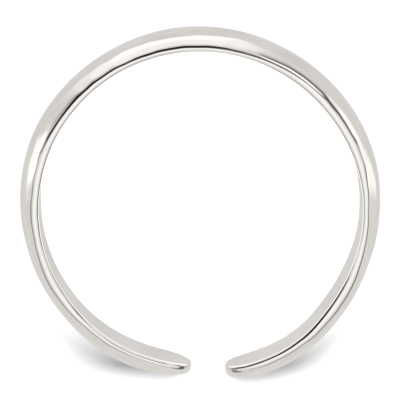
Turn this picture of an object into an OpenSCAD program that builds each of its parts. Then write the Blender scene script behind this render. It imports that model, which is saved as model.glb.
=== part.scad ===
// Open toe ring: one band of half-round silver wire, bent to a ring with a gap between two rounded tips.
// It lies on its side, as it does when put down. The ring's axis is Z and the floor is z = 0.
// The origin is on the axis of the round part. The crown is at +Y and the gap is at -Y. Lengths are in mm.

/* [Band] */
// Radius of the inside wall where the band is round, so the size of the toe
inner_r = 7.75; // [6.5:0.05:9.5]
// Width of the band, along the ring's axis
band_w = 3.0; // [2.4:0.1:4.2]
// Thickness of the band at the crest of its dome
band_t = 0.9; // [0.75:0.01:1.3]
// Height above the inside wall at which the dome meets the side walls, before rounding
side_h = 0.31; // [0.27:0.01:0.45]
// Radius of the edge between the dome and a side wall
dome_edge_r = 0.16; // [0.08:0.01:0.18]
// Radius of the edge between a side wall and the inside wall
inner_edge_r = 0.08; // [0.04:0.01:0.1]

/* [Bend] */
// Gap between the two tips, measured round the ring
tip_gap = 1.77; // [0.8:0.1:4]
// Degrees that the round part reaches from the crown down the right leg
right_round_deg = 105; // [95:1:115]
// Radius of the inside wall in the straighter stretch that follows in the right leg
straighter_r = 8.95; // [7.8:0.05:10]
// Radius of the inside wall in the tighter stretch that ends in the right tip
tighter_r = 6.3; // [4.5:0.1:7.7]
// Degrees of that stretch, up to where its tip starts to round
tighter_deg = 17.5; // [8:0.5:26]
// Radius of the inside wall in the last stretch of the left leg, which is nearly straight
left_r = 29; // [12:1:40]

/* [Hidden] */

// Facets of a full turn of the band, of the dome, of a tip and of the small edges
TURN_FN = 240;
DOME_FN = 240;
TIP_FN = 120;
EDGE_FN = 48;

// Half of the width: the tips are rounded with it, seen from the front
half_w = band_w / 2;
mid_t = band_t / 2;

// The dome is one arc through the crest and both points at side_h
dome_rise = band_t - side_h;
dome_r = (half_w * half_w + dome_rise * dome_rise) / (2 * dome_rise);
dome_y = band_t - dome_r;

// The edge arc touches the side wall and stands out of the dome by EDGE_OUT, so that the two arcs cross
EDGE_OUT = 0.003;
edge_x = half_w - dome_edge_r;
edge_d = dome_r - dome_edge_r + EDGE_OUT;
edge_y = dome_y + sqrt(edge_d * edge_d - edge_x * edge_x);
// From here to the side wall the section ends in the edge arc alone
body_x = dome_r * edge_x / edge_d;

// A tip is cut with a shape this much larger than the section, so that the cut runs out of each face at an angle
TIP_SCALE = 1.03;
// The cut starts this far before the centre of the tip's round
CUT_BACK = 0.03;
// Uncut, the wire goes this far past the tip's end
SPARE = 0.4;

// The round part is three quarters of a turn, and each leg goes on from one of its ends
ROUND_DEG = 270;
// The straighter stretch bends by the small angle of a triangle with sides 3, 4 and 5
STRAIGHTER_DEG = atan(3 / 4);

// Direction away from the ring's axis, deg degrees clockwise from the crown
function outward(deg) = [sin(deg), cos(deg)];

// A tip leans with the bend of its leg, so that the middle of the tip is square to the wire
function lean(r) = asin(half_w / 2 / r);
// Degrees from the centre of the tip's round to the tip's end, halfway through the wire
function reach(r) = atan2(
    mid_t * sin(lean(r)) + TIP_SCALE * half_w * cos(lean(r)),
    r + mid_t * cos(lean(r)) - TIP_SCALE * half_w * sin(lean(r))
);

// Where the right tip ends
tighter_start = right_round_deg + STRAIGHTER_DEG;
straighter_c = (inner_r - straighter_r) * outward(right_round_deg);
tighter_c = straighter_c + (straighter_r - tighter_r) * outward(tighter_start);
right_tip = tighter_c + (tighter_r + mid_t) * outward(tighter_start + tighter_deg + reach(tighter_r));
right_tip_deg = 180 - atan(-right_tip[0] / right_tip[1]);

// The gap places the left tip, so it gives the degrees that its leg bends past the round part
gap_deg = tip_gap / (inner_r + mid_t) * 180 / PI;
left_tip_deg = 360 - right_tip_deg - gap_deg - (ROUND_DEG - right_round_deg);
left_end = left_tip_deg - asin((left_r - inner_r) * sin(left_tip_deg) / (left_r + mid_t));
left_deg = left_end - reach(left_r);

// Section of the band: x across the width, y outwards from the inside wall
module section() {
    intersection() {
        translate([0, dome_y]) circle(r = dome_r, $fn = DOME_FN);
        union() {
            polygon([
                [-half_w, inner_edge_r], [-half_w + inner_edge_r, 0],
                [half_w - inner_edge_r, 0], [half_w, inner_edge_r], [half_w, edge_y],
                [body_x, edge_y], [body_x, 2 * band_t], [-body_x, 2 * band_t], [-body_x, edge_y],
                [-half_w, edge_y]
            ]);
            for (side = [-1, 1]) {
                translate([side * (half_w - inner_edge_r), inner_edge_r])
                    circle(r = inner_edge_r, $fn = EDGE_FN);
                translate([side * edge_x, edge_y]) circle(r = dome_edge_r, $fn = EDGE_FN);
            }
        }
    }
}

// Stretch of the band that starts on the X axis and bends anticlockwise around the origin
module stretch(r, deg) {
    rotate_extrude(angle = deg, $fn = TURN_FN) translate([r, 0]) rotate(-90) section();
}

// What is cut off around a tip: all that is forward (+Y) of the round's centre and outside the rounded shape
module tip_cut() {
    difference() {
        translate([-half_w, -CUT_BACK, -band_w]) cube([band_t + band_w, CUT_BACK + band_w, 2 * band_w]);
        rotate([0, 90, 0])
            rotate_extrude($fn = TIP_FN) intersection() {
                translate([0, mid_t]) scale(TIP_SCALE) translate([0, -mid_t]) section();
                translate([0, -band_t]) square([band_w, 3 * band_t]);
            }
    }
}

// Last stretch of a leg, with its rounded tip
module leg(r, deg) {
    spare_deg = SPARE / r * 180 / PI;
    difference() {
        stretch(r, deg + reach(r) + spare_deg);
        rotate(deg) translate([r, 0]) rotate(lean(r)) tip_cut();
    }
}

module band() {
    color("silver") translate([0, 0, half_w]) rotate(90 - right_round_deg) {
        stretch(inner_r, ROUND_DEG);
        rotate(ROUND_DEG) translate([inner_r - left_r, 0]) leg(left_r, left_deg);
        mirror([0, 1, 0]) translate([inner_r - straighter_r, 0]) {
            stretch(straighter_r, STRAIGHTER_DEG);
            rotate(STRAIGHTER_DEG) translate([straighter_r - tighter_r, 0]) leg(tighter_r, tighter_deg);
        }
    }
}

band();
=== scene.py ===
# %% [markdown]
# # An open toe ring of half-round silver wire
#
# The ring is one piece of wire with a flat inside and a domed outside. It was bent round a mandrel, its two
# ends were rounded over, and the whole was polished. The CAD model is loaded first, because it gives the
# place and the size that everything here has to keep.

# %% Load the CAD model
from math import cos, radians, sin

import bpy
import numpy as np
from mathutils import Matrix, Vector


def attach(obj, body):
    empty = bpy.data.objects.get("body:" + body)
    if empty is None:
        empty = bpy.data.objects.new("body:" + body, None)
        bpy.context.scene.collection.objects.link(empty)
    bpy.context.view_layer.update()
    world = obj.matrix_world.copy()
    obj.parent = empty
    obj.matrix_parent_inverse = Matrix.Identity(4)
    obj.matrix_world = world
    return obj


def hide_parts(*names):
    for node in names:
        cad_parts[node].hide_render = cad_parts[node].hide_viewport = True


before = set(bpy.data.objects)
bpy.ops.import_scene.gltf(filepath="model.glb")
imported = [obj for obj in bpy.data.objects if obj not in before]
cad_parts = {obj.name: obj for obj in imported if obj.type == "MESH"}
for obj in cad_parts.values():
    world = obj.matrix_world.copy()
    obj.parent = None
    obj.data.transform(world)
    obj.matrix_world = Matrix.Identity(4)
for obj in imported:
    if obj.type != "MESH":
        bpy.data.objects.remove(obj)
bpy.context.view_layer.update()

MM = 0.001  # Blender works in metres, and every size below is in millimetres

# %% [markdown]
# ## The sizes of the wire and of its bend
#
# These are the sizes of the CAD model: a wire 3 mm wide, and 0.9 mm thick at the crest of its dome. The bend
# is four arcs that run on into each other. Angles go clockwise from the crown, which is the far end of the
# ring from the gap, and radii are of the inside wall.
#
# The polishing wheel takes most off what stands out, so the inside edge is rounder here than the 0.08 mm of
# the CAD model. The tips are filed by eye: a little blunter than its plain half rounds, and 0.01 to
# 0.04 mm longer.

# %% Sizes
BAND_W = 3.0
BAND_T = 0.9
SIDE_H = 0.31
DOME_EDGE_R = 0.16
INNER_EDGE_R = 0.17

INNER_R = 7.75
STRAIGHTER_R = 8.95
TIGHTER_R = 6.3
LEFT_R = 29.0
ROUND_DEG = 270.0
RIGHT_ROUND_DEG = 105.0
STRAIGHTER_DEG = np.degrees(np.arctan(3 / 4))
TIGHTER_DEG = 17.5
LEFT_DEG = 0.17
# Length of the rounded part of a tip, along the inside wall, and how far the wire goes on before it starts
TIP_REACH = 1.42
LEFT_MORE = 0.21
RIGHT_MORE = 0.16
# Two gives a half round. A larger power gives a blunter tip
TIP_POWER = 2.25
# One gives a dome that falls away over the whole tip. A smaller power leaves it for the end
TIP_FALL = 0.65
# How much higher the dome's edge sits at the end of a tip, as a share
TIP_EDGE = 0.35

HALF_W = BAND_W / 2

# %% [markdown]
# ## The outline of the wire, cut across
#
# The flat, the dome and the edges between them are arcs and straight lines. Polishing leaves no sharp change
# between them: a buffing wheel takes a little more where a surface turns fast. The same is done here. The
# outline is laid out as even steps round its length, and then each point is replaced by the mean of its
# neighbours, weighted by a bell curve. That blurs the curvature and hardly moves a flat wall.

# %% Outline of the wire
STEP = 0.005        # between the points that are blurred, in millimetres
POLISH = 0.03       # width of the bell curve
TIP_POLISH = 0.13   # and at the tips
TURN_WEIGHT = 0.45  # millimetres that a turn of one radian counts as, so that points gather in the edges
OUTLINE_POINTS = 56


def arc_points(centre, radius, start, end, count=60):
    """Points on a circle: centre plus radius times (sine, cosine) of angles from start to end."""
    turn = np.linspace(start, end, count)
    return np.stack([centre[0] + radius * np.sin(turn), centre[1] + radius * np.cos(turn)], axis=1)


def wire_outline():
    """Right half of the outline as (distance from the middle of the wire, height over the flat), from the
    crest of the dome to the middle of the flat: dome, dome edge, side wall, inside edge, flat."""
    rise = BAND_T - SIDE_H
    dome_r = (HALF_W**2 + rise**2) / (2 * rise)
    dome_y = BAND_T - dome_r
    edge_x = HALF_W - DOME_EDGE_R
    edge_y = dome_y + np.sqrt((dome_r - DOME_EDGE_R) ** 2 - edge_x**2)
    meet = np.arctan2(edge_x, edge_y - dome_y)
    inner_x = HALF_W - INNER_EDGE_R
    return np.concatenate([
        arc_points((0, dome_y), dome_r, 0, meet),
        arc_points((edge_x, edge_y), DOME_EDGE_R, meet, np.pi / 2)[1:],
        arc_points((inner_x, INNER_EDGE_R), INNER_EDGE_R, np.pi / 2, np.pi),
        [[0, 0]],
    ])


def resampled(points, run, at):
    """Points at given distances on a line through the points, whose own distances are in run."""
    return np.stack([np.interp(at, run, points[:, k]) for k in (0, 1)], axis=1)


def running_length(points, turn_weight=0.0):
    """Length run at each point, plus turn_weight times the angle turned since the start."""
    ahead = np.diff(points, axis=0)
    heading = np.unwrap(np.arctan2(ahead[:, 1], ahead[:, 0]))
    turned = np.concatenate([[0], np.abs(np.diff(heading))])
    return np.concatenate([[0], np.cumsum(np.linalg.norm(ahead, axis=1) + turn_weight * turned)])


def bell_mean(values, width, mode):
    """Each value replaced by the mean of its neighbours, weighted by a bell curve width steps wide."""
    reach = int(4 * width) + 1
    bell = np.exp(-0.5 * (np.arange(-reach, reach + 1) / width) ** 2)
    return np.convolve(np.pad(values, reach, mode=mode), bell / bell.sum(), mode="valid")


def polished(width):
    """The half outline after polishing: the whole closed outline in even steps, and the bell mean of it."""
    half = wire_outline()
    run = running_length(half)
    half = resampled(half, run, np.linspace(0, run[-1], int(run[-1] / STEP) + 1))
    loop = np.concatenate([half, (half * [-1, 1])[-2:0:-1]])
    return np.stack([bell_mean(loop[:, k], width / STEP, "wrap") for k in (0, 1)], axis=1)[: len(half)]


sharp, soft = polished(POLISH), polished(TIP_POLISH)
run = running_length(sharp, TURN_WEIGHT)
at = np.linspace(0, run[-1], OUTLINE_POINTS)
outline, tip_outline = resampled(sharp, run, at), resampled(soft, run, at)
outline[[0, -1], 0] = tip_outline[[0, -1], 0] = 0
print("outline:", len(outline), "points, crest at", outline[0, 1].round(4), "mm")

# %% [markdown]
# ## The bend
#
# A path can be told by how sharply it bends at each place along its length. On this ring that is four numbers
# in a row, one for each arc. Real wire can't change its bend at a point, so the row is blurred over about two
# millimetres. Summing the bend gives the direction, and summing the direction gives the place.

# %% Path of the inside wall
PATH_STEP = 0.02  # all three in millimetres
PATH_SPARE = 3.0  # beyond the first and the last arc, for the tips
BEND_BLUR = 0.5   # width of the bell curve


def bend_path():
    """Station, place (x, y) and outward angle along the inside wall: the angle is the running sum of the
    bend, and the place is the running sum of the steps square to the angle. Then the crown's station and the
    last arc's end, both counted from the first arc's start at the left tip."""
    arcs = [(LEFT_R, LEFT_DEG), (INNER_R, ROUND_DEG), (STRAIGHTER_R, STRAIGHTER_DEG),
            (TIGHTER_R, TIGHTER_DEG)]
    lengths = np.array([r * radians(deg) for r, deg in arcs])
    ends = np.cumsum(lengths)
    crown = lengths[0] + INNER_R * radians(ROUND_DEG - RIGHT_ROUND_DEG)
    station = np.arange(-PATH_SPARE, ends[-1] + PATH_SPARE, PATH_STEP)
    which = np.searchsorted(ends[:-1], station, side="right")
    bend = np.array([1 / r for r, _ in arcs])[which]
    bend = bell_mean(bend, BEND_BLUR / PATH_STEP, "edge")
    angle = np.concatenate([[0], np.cumsum((bend[1:] + bend[:-1]) / 2 * PATH_STEP)])
    angle -= np.interp(crown, station, angle)
    middle = (angle[1:] + angle[:-1]) / 2
    place = np.zeros((len(station), 2))
    place[1:] = np.cumsum(np.stack([np.cos(middle), -np.sin(middle)], axis=1) * PATH_STEP, axis=0)
    at_crown = np.array([np.interp(crown, station, place[:, k]) for k in (0, 1)])
    return station, place - at_crown + [0, INNER_R], angle, crown, ends[-1]


station, place, angle, CROWN, WIRE_LENGTH = bend_path()
print("the four arcs:", round(WIRE_LENGTH, 2), "mm along the inside wall")

# %% [markdown]
# ## The straight bar
#
# Seen flat from above, the straight wire has the outline of a stadium: two long sides and two half rounds.
# The half outline from before is carried once round that stadium, always pointing away from its middle line.
# So the dome falls away round each tip just as it does to the sides. Then the straight bar is bent: the
# distance along it gives a place on the path, and the height over the flat goes outwards from there.

# %% The straight bar
SIDE_STATIONS = 420
TIP_STATIONS = 44
side_start, side_end = -LEFT_MORE, WIRE_LENGTH + RIGHT_MORE


def stadium():
    """Middle-line station and outward direction (across, along) once round the stadium. At a tip the
    direction follows a curve of which the two parts, each to the power TIP_POWER, sum to one."""
    side = np.linspace(side_start, side_end, SIDE_STATIONS)
    turn = np.linspace(0, np.pi, TIP_STATIONS + 2)[1:-1]
    blunt = 2 / TIP_POWER
    over = np.sign(np.cos(turn)) * np.abs(np.cos(turn)) ** blunt
    ahead = np.sin(turn) ** blunt * TIP_REACH / HALF_W
    ones = np.ones_like
    middle = np.concatenate([side, side[-1] * ones(turn), side[::-1], side[0] * ones(turn)])
    across = np.concatenate([ones(side), over, -ones(side), -over])
    along = np.concatenate([0 * side, ahead, 0 * side, -ahead])
    return middle[:, None], across[:, None], along[:, None]


def bend_wire(along, across, height):
    """Places in metres: the path's place at that distance, plus the height outwards, plus the distance across
    as height over the floor."""
    turn = np.interp(along, station, angle)
    x = np.interp(along, station, place[:, 0]) + height * np.sin(turn)
    y = np.interp(along, station, place[:, 1]) + height * np.cos(turn)
    return np.stack([x, y, HALF_W + across], axis=-1) * MM


# %% [markdown]
# ## What the hand leaves
#
# Filing, hammering and buffing by hand leave the wire up to a tenth of a millimetre thicker here and thinner
# there, and the side wall wider here and narrower there. A mirror shows that much: it is what makes the lines
# in the silver wander. Each table below holds the change at a few places round the ring, counted in degrees
# from the crown, and the change in between is drawn through them and then blurred.

# %% Changes by hand
random = np.random.default_rng(5)
DEGREE_STEP = 0.5


def by_hand(table, wander=0.0, blur=2.5, unsteady=1.6):
    """A change along the wire: straight lines between (degrees from the crown, change), blurred, plus the
    wander of an unsteady hand, which is random numbers blurred and scaled to that size. Both blurs are in
    degrees."""
    degrees = np.arange(-200.0, 200.0, DEGREE_STEP)
    changes = bell_mean(np.interp(degrees, *np.transpose(table)), blur / DEGREE_STEP, "edge")
    shaking = bell_mean(random.normal(size=len(degrees)), unsteady / DEGREE_STEP, "edge")
    changes = changes + wander * shaking / shaking.std()
    return lambda middle: np.interp(np.degrees((middle - CROWN) / INNER_R), degrees, changes)


def eased(value, start, end):
    """Nothing up to start and one from end on, with a smooth rise between."""
    t = np.clip((value - start) / (end - start), 0, 1)
    return t * t * (3 - 2 * t)


# How much higher the dome's edge sits, as a share of its height
edge_change = by_hand([
    (-176, -0.25), (-165, -0.22), (-157, -0.27), (-147, -0.17), (-137, -0.13), (-127, 0.03), (-118, 0.22),
    (-107, 0.04), (-90, 0.0), (-80, -0.03), (-70, -0.05), (-58, -0.08), (-45, -0.02), (-25, 0.0), (-10, 0.04),
    (0, 0.02), (10, -0.03), (20, 0.0), (30, 0.13), (42, 0.19), (50, 0.12), (56, 0.05), (62, 0.08),
    (70, 0.0), (80, -0.07), (90, -0.2), (100, -0.1), (112, 0.08), (120, 0.15), (130, 0.13), (140, 0.08),
    (150, -0.1), (160, -0.05), (170, -0.4),
], wander=0.018)
# How far the inside wall lies outwards of the path, in millimetres
inside_change = by_hand([
    (-176, -0.06), (-166, -0.03), (-150, 0.0), (-137, 0.0), (-127, -0.025), (-105, -0.04), (-90, -0.07),
    (-70, -0.065), (-45, -0.075), (-20, -0.055), (0, -0.055), (45, -0.06), (60, -0.04), (70, -0.055),
    (80, -0.02), (90, 0.005), (100, 0.03), (115, 0.005), (130, -0.01), (140, 0.035), (150, -0.015),
    (160, -0.095), (168, -0.14),
], wander=0.0015)
# How much thicker the wire is, in millimetres
thick_change = by_hand([
    (-176, -0.09), (-168, -0.05), (-159, 0.07), (-147, 0.05), (-135, 0.0), (-117, -0.015), (-105, -0.015),
    (-92, 0.045), (-80, 0.085), (-68, 0.12), (-50, 0.075), (-30, 0.02), (-10, 0.035), (20, 0.02), (30, 0.005),
    (50, 0.055), (60, 0.065), (70, 0.115), (80, 0.07), (90, 0.01), (100, -0.02), (110, -0.025), (120, 0.03),
    (130, 0.055), (140, 0.015), (150, 0.045), (160, 0.05), (168, 0.03),
], wander=0.0015)
# How many degrees the wire leans, its upper side outwards
lean = by_hand([
    (-176, -1.0), (-157, -1.3), (-147, -1.9), (-137, -1.9), (-127, -0.8), (-112, 0.0), (-95, 0.8), (-80, 0.0),
    (58, 0.0), (70, 2.8), (80, 3.6), (90, 3.0), (100, 2.2), (110, 2.1), (120, 1.6), (135, 0.5), (150, -1.3),
    (160, -0.8), (170, -0.5),
], wander=0.1)
# How much narrower the wire is, as a share of its width
narrower = by_hand([(-176, 0.08), (-166, 0.05), (-152, 0.0), (152, 0.0), (160, 0.07), (168, 0.1)])

# %% [markdown]
# ## The band as one surface
#
# The outline goes round the straight bar, takes the changes by hand, and is bent into the ring. Near the tips
# it runs over to a softer outline, because the ends are rounded over by hand.

# %% Band surface
# Where one thing runs over to another, in millimetres from and to
SOFT_FROM_START = (-0.7, 0.9)    # to the softer outline: from the start of a tip's round, towards the end
SOFT_FROM_MIDDLE = (0.1, 0.8)    # and from the middle of the wire, outwards
EDGE_FROM_MIDDLE = (0.75, 1.42)  # to the full change of the dome's edge


def band_points():
    """Grid of places: one row for each station of the stadium, one column for each point of the outline. The
    height is the outline's, times the thickness there. Along a tip the outline is stretched towards the
    end."""
    middle, across, along = stadium()
    end = np.minimum(middle + along - side_start, side_end - middle - along)
    rounder = eased(-end, *SOFT_FROM_START) * eased(outline[:, 0], *SOFT_FROM_MIDDLE)
    out = (1 - rounder) * outline[:, 0] + rounder * tip_outline[:, 0]
    high = (1 - rounder) * outline[:, 1] + rounder * tip_outline[:, 1]
    edge = edge_change(middle) * np.abs(across) + TIP_EDGE * (1 - np.abs(across))
    high = high * (1 + thick_change(middle) / BAND_T) * (1 + edge * eased(out, *EDGE_FROM_MIDDLE))
    wide = across * out * (1 - narrower(middle))
    far = along * HALF_W * (out / HALF_W) ** TIP_FALL
    return bend_wire(middle + far, wide, high + inside_change(middle) + wide * np.radians(lean(middle)))


def make_surface(name, grid):
    """A closed mesh from a grid whose rows close on themselves: points in the same place are made one, and a
    four-sided face that loses a corner becomes a triangle."""
    rows, columns, _ = grid.shape
    _, first, point = np.unique(np.round(grid.reshape(-1, 3) / MM, 5), axis=0, return_index=True,
                                return_inverse=True)
    point = point.reshape(rows, columns)
    after = np.roll(point, -1, axis=0)
    quads = np.stack([point[:, :-1], point[:, 1:], after[:, 1:], after[:, :-1]], axis=-1).reshape(-1, 4)
    keep = quads != np.roll(quads, -1, axis=1)
    corners = keep.sum(axis=1)
    faces = [face for n in (3, 4) for face in quads[corners == n][keep[corners == n]].reshape(-1, n).tolist()]
    mesh = bpy.data.meshes.new(name)
    mesh.from_pydata(grid.reshape(-1, 3)[first].tolist(), [], faces)
    mesh.shade_smooth()
    piece = bpy.data.objects.new(name, mesh)
    bpy.context.scene.collection.objects.link(piece)
    return piece


def volume(mesh):
    """Volume in cubic millimetres: a sixth of the sum of corner a times (corner b cross corner c)."""
    mesh.calc_loop_triangles()
    corners = np.array([t.vertices[:] for t in mesh.loop_triangles])
    places = np.empty(3 * len(mesh.vertices))
    mesh.vertices.foreach_get("co", places)
    a, b, c = (places.reshape(-1, 3)[corners[:, k]] / MM for k in range(3))
    return np.einsum("ij,ij->", a, np.cross(b, c)) / 6


def open_edges(mesh):
    """How many edges don't lie between exactly two faces: none on a closed surface."""
    edges = np.sort([key for face in mesh.polygons for key in face.edge_keys], axis=1)
    return int((np.unique(edges, axis=0, return_counts=True)[1] != 2).sum())


band = make_surface("polished_band", band_points())
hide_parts("band")
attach(band, "root")
print("band:", len(band.data.vertices), "vertices,", len(band.data.polygons), "faces,", open_edges(band.data),
      "open edges")
print("volume:", round(volume(band.data), 1), "cubic millimetres, 104 in the checked model; less than",
      "nothing would mean that the faces look inwards")

# %% [markdown]
# ## Polished silver
#
# Sterling silver is the whitest of metals, nearly without a colour of its own. After the buffing wheel it is
# a mirror, but not a flat one: the surface swells and sinks by a few thousandths of a millimetre over one or
# two millimetres, and the last compound leaves fine lines that follow the wire. Both are drawn as bumps. The
# lines need a direction that goes round the ring, so the angle and the distance from the axis stand in for
# x and y.

# %% Silver
def add(tree, kind, inputs=None, **settings):
    """A node with its settings. An input is a number, a colour, a socket, or a node, which gives its first
    output."""
    node = tree.nodes.new(kind)
    for key, value in settings.items():
        setattr(node, key, value)
    for name, value in (inputs or {}).items():
        value = value.outputs[0] if isinstance(value, bpy.types.Node) else value
        if isinstance(value, bpy.types.NodeSocket):
            tree.links.new(value, node.inputs[name])
        else:
            node.inputs[name].default_value = value
    return node


def new_material(name):
    """A material without nodes, and its node tree."""
    made = bpy.data.materials.new(name)
    made.use_nodes = True
    made.node_tree.nodes.clear()
    return made, made.node_tree


def from_hex(code):
    """Linear colour from an sRGB hex value."""
    parts = np.array([int(code[k : k + 2], 16) for k in (1, 3, 5)]) / 255
    linear = np.where(parts <= 0.04045, parts / 12.92, ((parts + 0.055) / 1.055) ** 2.4)
    return (*linear.tolist(), 1.0)


WAVE_ALONG = 0.55     # waves per millimetre along the wire
WAVE_ACROSS = 0.9     # and across it
WAVE_HEIGHT = 9.0     # thousandths of a millimetre
LINES_ALONG = 0.8     # polishing lines: changes per millimetre along the wire
LINES_ACROSS = 14.0   # and across it, coarser than the real ones, which no camera parts
LINES_HEIGHT = 0.35   # thousandths of a millimetre
PATCHES_ALONG = 0.4   # patches of finer and duller polish, per millimetre along the wire
PATCHES_ACROSS = 1.5  # and across it
FINEST, DULLEST = 0.035, 0.1
BRIGHT, DIM = "#FAF7F4", "#F2EEEA"


def round_the_ring(tree, along, across):
    """Coordinates that follow the wire: angle times radius, distance from the axis, height over the floor,
    each in millimetres times the changes wanted per millimetre."""
    coordinates = add(tree, "ShaderNodeTexCoord")
    x, y, z = add(tree, "ShaderNodeSeparateXYZ", {0: coordinates.outputs["Object"]}).outputs
    angle = add(tree, "ShaderNodeMath", {0: x, 1: y}, operation="ARCTAN2")
    flat = add(tree, "ShaderNodeCombineXYZ", {"X": x, "Y": y})
    far = add(tree, "ShaderNodeVectorMath", {0: flat}, operation="LENGTH").outputs["Value"]
    parts = ((angle, INNER_R * along), (far, across / MM), (z, across / MM))
    scaled = [add(tree, "ShaderNodeMath", {0: part, 1: times}, operation="MULTIPLY") for part, times in parts]
    return add(tree, "ShaderNodeCombineXYZ", dict(enumerate(scaled)))


def polished_silver():
    """Mirror-like metal: swellings and polishing lines as bumps, and a finish a little duller in places."""
    made, tree = new_material("polished_sterling_silver")
    waves = add(tree, "ShaderNodeTexNoise", {"Vector": round_the_ring(tree, WAVE_ALONG, WAVE_ACROSS),
                                             "Scale": 1.0, "Detail": 2.0, "Roughness": 0.45})
    lines = add(tree, "ShaderNodeTexNoise", {"Vector": round_the_ring(tree, LINES_ALONG, LINES_ACROSS),
                                             "Scale": 1.0, "Detail": 3.0, "Roughness": 0.6})
    patches = add(tree, "ShaderNodeTexNoise", {"Vector": round_the_ring(tree, PATCHES_ALONG, PATCHES_ACROSS),
                                               "Scale": 1.0, "Detail": 4.0})
    swollen = add(tree, "ShaderNodeBump", {"Height": waves, "Strength": 1.0,
                                           "Distance": WAVE_HEIGHT * MM / 1000})
    lined = add(tree, "ShaderNodeBump", {"Height": lines, "Strength": 1.0,
                                         "Distance": LINES_HEIGHT * MM / 1000, "Normal": swollen})
    dullness = add(tree, "ShaderNodeMapRange", {"Value": patches, "From Min": 0.3, "From Max": 0.7,
                                                "To Min": FINEST, "To Max": DULLEST})
    tone = add(tree, "ShaderNodeMix", {"Factor": patches, "A": from_hex(BRIGHT), "B": from_hex(DIM)},
               data_type="RGBA")
    shader = add(tree, "ShaderNodeBsdfPrincipled", {"Base Color": tone.outputs[2], "Metallic": 1.0,
                                                    "Roughness": dullness, "Normal": lined})
    add(tree, "ShaderNodeOutputMaterial", {"Surface": shader})
    return made


band.data.materials.append(polished_silver())

# %% [markdown]
# ## The studio
#
# A mirror shows the room, so polished silver is lit by what stands around it. A photographer builds that room
# from cloth and cards outside the picture. So there are two sets here. The camera sees a pale floor, and the
# silver sees a grey board and a tent with bright and dark cards, which neither the camera nor the floor sees.

# %% Studio helpers
def matt(tree, colour, glow, glow_colour="#FFFFFF"):
    """A matt surface that also glows."""
    return add(tree, "ShaderNodeBsdfPrincipled", {"Base Color": from_hex(colour), "Roughness": 1.0,
               "Specular IOR Level": 0.0, "Emission Color": from_hex(glow_colour), "Emission Strength": glow})


def stage_mesh(name, points, faces, material):
    """A mesh of the stage, from points in millimetres."""
    mesh = bpy.data.meshes.new(name)
    mesh.from_pydata((np.asarray(points, float) * MM).tolist(), [], faces)
    mesh.shade_smooth()
    piece = bpy.data.objects.new(name, mesh)
    bpy.context.scene.collection.objects.link(piece)
    piece.data.materials.append(material)
    return piece


def square(half, height):
    """Corners of a level square round the axis."""
    return [(-half, -half, height), (half, -half, height), (half, half, height), (-half, half, height)]


def only_mirrored(piece):
    """Seen by the silver alone: not by the camera or the floor, and casting no shadow."""
    piece.visible_camera = False
    piece.visible_diffuse = False
    piece.visible_shadow = False
    return piece


# %% [markdown]
# ## The floor, with a patch of painted shade near the tips
#
# The floor glows by itself, as a light table does, and comes out white. A glow drowns every shadow, so it
# fades in a flat patch outside each leg near the tips: that fade is painted shade, darkest at its middle.
# There the lamp's real soft shadow of the wire shows as well. One patch serves for both sides, because x is
# taken without its sign.

# %% Floor and light
FLOOR_HALF = 900.0
FLOOR_GLOW = 0.78
# The patch of painted shade: its glow at the middle, its place, its reach and its shape
SHADE_GLOW = 0.0    # at the middle of the patch
SHADE_PLACE = (3.5, -8.34, 0)
SHADE_REACH = 8.1   # from its middle to the full glow, sideways
SHADE_POWER = 0.7   # under one: steep at its middle, faint far out
SHADE_FLAT = 3.5    # times wider than deep
SKY = (0.96, 0.98, 1, 1)
SKY_STRENGTH = 0.9
floor_with_painted_shade, tree = new_material("pale_floor_with_painted_shade")
x, y, _ = add(tree, "ShaderNodeSeparateXYZ", {0: add(tree, "ShaderNodeTexCoord").outputs["Object"]}).outputs
# Mask of the painted shade: distance from the patch's middle, with x taken without its sign
side = add(tree, "ShaderNodeMath", {0: x}, operation="ABSOLUTE")
off = add(tree, "ShaderNodeVectorMath", {0: add(tree, "ShaderNodeCombineXYZ", {"X": side, "Y": y}),
          1: Vector(SHADE_PLACE) * MM}, operation="SUBTRACT")
off = add(tree, "ShaderNodeVectorMath", {0: off, 1: (1, SHADE_FLAT, 1)}, operation="MULTIPLY")
far = add(tree, "ShaderNodeVectorMath", {0: off}, operation="LENGTH").outputs["Value"]
share = add(tree, "ShaderNodeMath", {0: far, 1: SHADE_REACH * MM}, operation="DIVIDE")
share = add(tree, "ShaderNodeMath", {0: share, 1: SHADE_POWER}, operation="POWER")
glow = add(tree, "ShaderNodeMapRange", {"Value": share, "To Min": SHADE_GLOW, "To Max": FLOOR_GLOW})
add(tree, "ShaderNodeOutputMaterial", {"Surface": matt(tree, "#B4B4B4", glow.outputs[0])})
floor = stage_mesh("floor", square(FLOOR_HALF, 0), [(0, 1, 2, 3)], floor_with_painted_shade)
floor.visible_glossy = False

world = bpy.data.worlds.new("studio")
bpy.context.scene.world = world
world.use_nodes = True
world.node_tree.nodes["Background"].inputs["Color"].default_value = SKY
world.node_tree.nodes["Background"].inputs["Strength"].default_value = SKY_STRENGTH
print("floor:", 2 * FLOOR_HALF / 1000, "m wide, with a sky of strength", SKY_STRENGTH)

# %% [markdown]
# ## The lamp
#
# One soft lamp over the hole throws the shadows of the legs outwards. It is small and close, so that it
# reaches the floor round the tips and hardly more. The silver doesn't mirror it.

# %% A lamp over the hole
LAMP_PLACE = (0.8, -4.5, 9.5)
LAMP_WIDTH = 4.6
LAMP_WATTS = 0.0028
lamp = bpy.data.objects.new("lamp", bpy.data.lights.new("lamp", "AREA"))
lamp.data.shape = "DISK"
lamp.data.size = LAMP_WIDTH * MM
lamp.data.energy = LAMP_WATTS
lamp.location = Vector(LAMP_PLACE) * MM
lamp.visible_camera = False
lamp.visible_glossy = False
bpy.context.scene.collection.objects.link(lamp)
print("lamp:", LAMP_WIDTH, "mm wide,", LAMP_PLACE[2], "mm over the floor")

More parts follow.
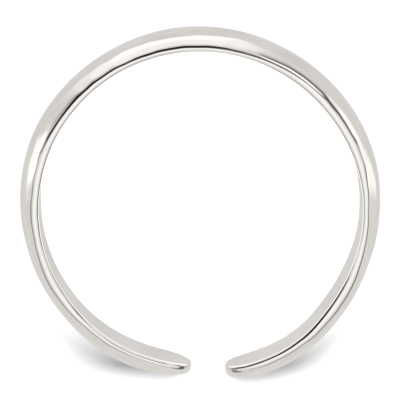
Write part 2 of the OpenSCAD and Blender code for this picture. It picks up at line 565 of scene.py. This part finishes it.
# %% [markdown]
# ## Cards with soft edges
#
# A card is told by where it stands round the ring, from one azimuth to another, and by how far out or how
# high it reaches. Its edges are soft, as cloth with light behind it is, and a later card covers an earlier
# one. So each set is one surface whose glow is painted in a row of panels.

# %% Painting a glow in soft-edged panels
def between(tree, value, low, high, soft):
    """One between low and high, falling smoothly to nothing over soft on both sides."""
    rise = add(tree, "ShaderNodeMapRange", {"Value": value, "From Min": low - soft, "From Max": low + soft},
               interpolation_type="SMOOTHSTEP")
    fall = add(tree, "ShaderNodeMapRange", {"Value": value, "From Min": high + soft, "From Max": high - soft},
               interpolation_type="SMOOTHSTEP")
    return add(tree, "ShaderNodeMath", {0: rise, 1: fall}, operation="MULTIPLY")


def panels(tree, azimuth, measure, bare, rows):
    """Glow of the bare ground, then each panel laid over what was there."""
    glow = bare
    for left, right, low, high, soft_across, soft, value in rows:
        across = between(tree, azimuth, left, right, soft_across)
        over = between(tree, measure, low, high, soft)
        factor = add(tree, "ShaderNodeMath", {0: across, 1: over}, operation="MULTIPLY")
        glow = add(tree, "ShaderNodeMix", {"Factor": factor, "A": glow, "B": value}, data_type="FLOAT")
    return glow


def seen_from_axis(tree):
    """Azimuth in degrees from +Y towards +X, and the three coordinates in millimetres."""
    split = add(tree, "ShaderNodeSeparateXYZ", {0: add(tree, "ShaderNodeTexCoord").outputs["Object"]})
    x, y, z = [add(tree, "ShaderNodeMath", {0: part, 1: 1 / MM}, operation="MULTIPLY")
               for part in split.outputs]
    angle = add(tree, "ShaderNodeMath", {0: x, 1: y}, operation="ARCTAN2")
    return add(tree, "ShaderNodeMath", {0: angle}, operation="DEGREES"), x, y, z


# %% [markdown]
# ## The board under the ring
#
# From above, the dome and the inside wall mirror what lies below, so the board gives them their even grey. A
# real one would be grey card with white cards laid on it near the ring. Its matt part takes the real shadow
# of the ring, but only faintly. A band of lower glow just inside the wire is painted shade of the ring, and
# it darkens the silver just over it.

# %% What the silver sees below
# Glow of the bare board, then panels: azimuth from and to, millimetres from the axis from and to, softness of
# both, glow
BOARD_GLOW = 0.68
BOARD_PANELS = [
    (-190, 190, -5, 6.7, 1, 0.3, 1.0),       # the bottom of the hole
    # painted shade of the ring: lower glow in a band just inside the wire
    (-190, 190, 7.0, 8.0, 1, 0.3, 0.61),     # just inside the wire
    (-190, 190, 34, 2000, 1, 6, 0.42),       # far off all round
    (-54, -38, 13, 2000, 6, 0.8, 0.8),       # past the crown
    (-40, 17, 12.8, 2000, 16, 0.4, 1.16),
    (-40, 17, 20, 2000, 16, 6, 0.96),
    (-90, -72, 13.6, 40, 4, 1.2, 1.12),      # past the left shoulder
    (-84, -69, 20, 60, 4, 4, 1.12),
    (58, 80, 16, 80, 6, 3, 1.12),            # past the right shoulder
    (78, 92, 13, 30, 4, 1, 1.05),
]
BOARD_HEIGHT = 0.01   # over the floor, so that the silver meets the board first
BOARD_WARM = "#FFFEFC"
PAPER_SCALE = 0.4     # how often the paper's glow changes, per millimetre
PAPER_UNEVEN = 0.16   # and by which share


def board_material():
    """Grey board with bright cards and painted shade on it: a matt part that takes shadows, and the panels'
    glow.
    """
    made, tree = new_material("grey_board")
    azimuth, x, y, z = seen_from_axis(tree)
    flat = add(tree, "ShaderNodeCombineXYZ", {"X": x, "Y": y})
    far = add(tree, "ShaderNodeVectorMath", {0: flat}, operation="LENGTH").outputs["Value"]
    paper = add(tree, "ShaderNodeTexNoise", {"Vector": add(tree, "ShaderNodeCombineXYZ", {0: x, 1: y, 2: z}),
                                             "Scale": PAPER_SCALE, "Detail": 3.0})
    uneven = add(tree, "ShaderNodeMapRange", {"Value": paper, "To Min": 1 - PAPER_UNEVEN,
                                              "To Max": 1 + PAPER_UNEVEN})
    even = panels(tree, azimuth, far, BOARD_GLOW, BOARD_PANELS)
    glow = add(tree, "ShaderNodeMath", {0: even, 1: uneven}, operation="MULTIPLY")
    add(tree, "ShaderNodeOutputMaterial", {"Surface": matt(tree, "#303030", glow.outputs[0], BOARD_WARM)})
    return made


grey_board = only_mirrored(stage_mesh("grey_board", square(FLOOR_HALF, BOARD_HEIGHT), [(0, 1, 2, 3)],
                                      board_material()))
print("grey board:", len(BOARD_PANELS), "panels")

# %% [markdown]
# ## The tent over the ring
#
# The side wall and the rounded edges look up. White cloth lights them, and black cards past the crown and on
# both sides give them the dark lines that make silver look polished. The cloth has a dark round opening at
# its top, where a camera looks in.

# %% What the silver sees above
TENT_R = 300.0
# Glow of the bare cloth, then panels: azimuth from and to, height from and to in degrees, softness of both,
# glow
TENT_GLOW = 0.78
TENT_PANELS = [
    (-400, 400, 68, 130, 1, 8, 1.02),    # the roof
    # painted shade: lower glow round the foot of the tent
    (-400, 400, -10, 8, 1, 4, 0.35),     # the foot, in the shade all round
    (88, 172, -10, 28, 8, 7, 0.2),       # dark cards right of the gap
    (92, 128, -10, 22, 6, 5, 0.07),
    (-165, -95, -10, 28, 8, 7, 0.26),    # and left of it
    (-40, 20, -10, 12, 14, 5, 0.97),     # pale cards past the crown
    (-44, 32, 12, 38, 10, 6, 0.7),
    (-71, -21, 28, 66, 8, 6, 0.02),      # black cards over them, and to the left
    (-71, 22, 38, 130, 4, 6, 0.02),
    (-80, -50, 3, 45, 7, 4, 0.02),
    (-60, -40, 13, 66, 8, 6, 0.02),
    (24, 63, 5, 130, 5, 3, 0.04),        # black cards on the right
    (58, 80, 5, 19, 5, 3, 0.05),
    (24, 56, 14, 50, 6, 6, 1.2),         # and a white one on them
    (-400, 400, 84, 130, 1, 2, 0.03),    # the opening
]


def tent_material():
    """Glow over the inside of the tent, by azimuth and by height in degrees over the board."""
    made, tree = new_material("tent_cloth")
    azimuth, _, _, z = seen_from_axis(tree)
    share = add(tree, "ShaderNodeMath", {0: z, 1: TENT_R}, operation="DIVIDE")
    angle = add(tree, "ShaderNodeMath", {0: share}, operation="ARCSINE")
    height = add(tree, "ShaderNodeMath", {0: angle}, operation="DEGREES")
    glow = panels(tree, azimuth, height, TENT_GLOW, TENT_PANELS)
    shine = add(tree, "ShaderNodeEmission", {"Strength": glow})
    add(tree, "ShaderNodeOutputMaterial", {"Surface": shine})
    return made


def tent_points():
    """Half a ball: radius times (cosine of the height times sine and cosine of the azimuth, sine of the
    height)."""
    azimuth = np.radians(np.linspace(0, 360, 73))[:, None]
    height = np.radians(np.linspace(0, 90, 31))[None, :]
    return TENT_R * np.stack([np.cos(height) * np.sin(azimuth), np.cos(height) * np.cos(azimuth),
                              np.sin(height) + 0 * azimuth], axis=-1)


grid = tent_points()
rows, columns, _ = grid.shape
index = np.arange(rows * columns).reshape(rows, columns)
cells = np.stack([index[:-1, :-1], index[:-1, 1:], index[1:, 1:], index[1:, :-1]], axis=-1).reshape(-1, 4)
tent = only_mirrored(stage_mesh("tent", grid.reshape(-1, 3), cells.tolist(), tent_material()))
print("tent:", len(TENT_PANELS), "panels")

# %% [markdown]
# ## The camera
#
# The ring is seen from above, almost along its axis, with the camera a little towards the crown. From there
# the crown shows the outside of the wire and the legs show its inside. A long lens keeps the round of the
# ring true.

# %% Camera
CAMERA_UP_DEG = 12.96   # from the axis towards the crown
CAMERA_SIDE_DEG = 0.34  # and to the right
CAMERA_FAR = 390.0
CAMERA_SHIFT = (0.01, 0.14)  # of the ring's middle in the picture: how far left and down, in millimetres
VIEW_WIDTH = 19.23
SENSOR_WIDTH = 36
e, a = radians(CAMERA_UP_DEG), radians(CAMERA_SIDE_DEG)
back = Vector((sin(a) * cos(e), sin(e), cos(a) * cos(e)))
right = Vector((cos(a), 0, -sin(a)))
up = back.cross(right)
target = Vector((0, 0, HALF_W)) + right * CAMERA_SHIFT[0] + up * CAMERA_SHIFT[1]
turned = Matrix((right, up, back)).transposed().to_4x4()
cam = bpy.data.objects.new("camera", bpy.data.cameras.new("camera"))
bpy.context.scene.collection.objects.link(cam)
bpy.context.scene.camera = cam
cam.matrix_world = Matrix.Translation((target + back * CAMERA_FAR) * MM) @ turned
cam.data.sensor_width = SENSOR_WIDTH
cam.data.lens = SENSOR_WIDTH * CAMERA_FAR / VIEW_WIDTH
cam.data.clip_start, cam.data.clip_end = 0.01, 5

bpy.context.scene.view_settings.view_transform = "Standard"
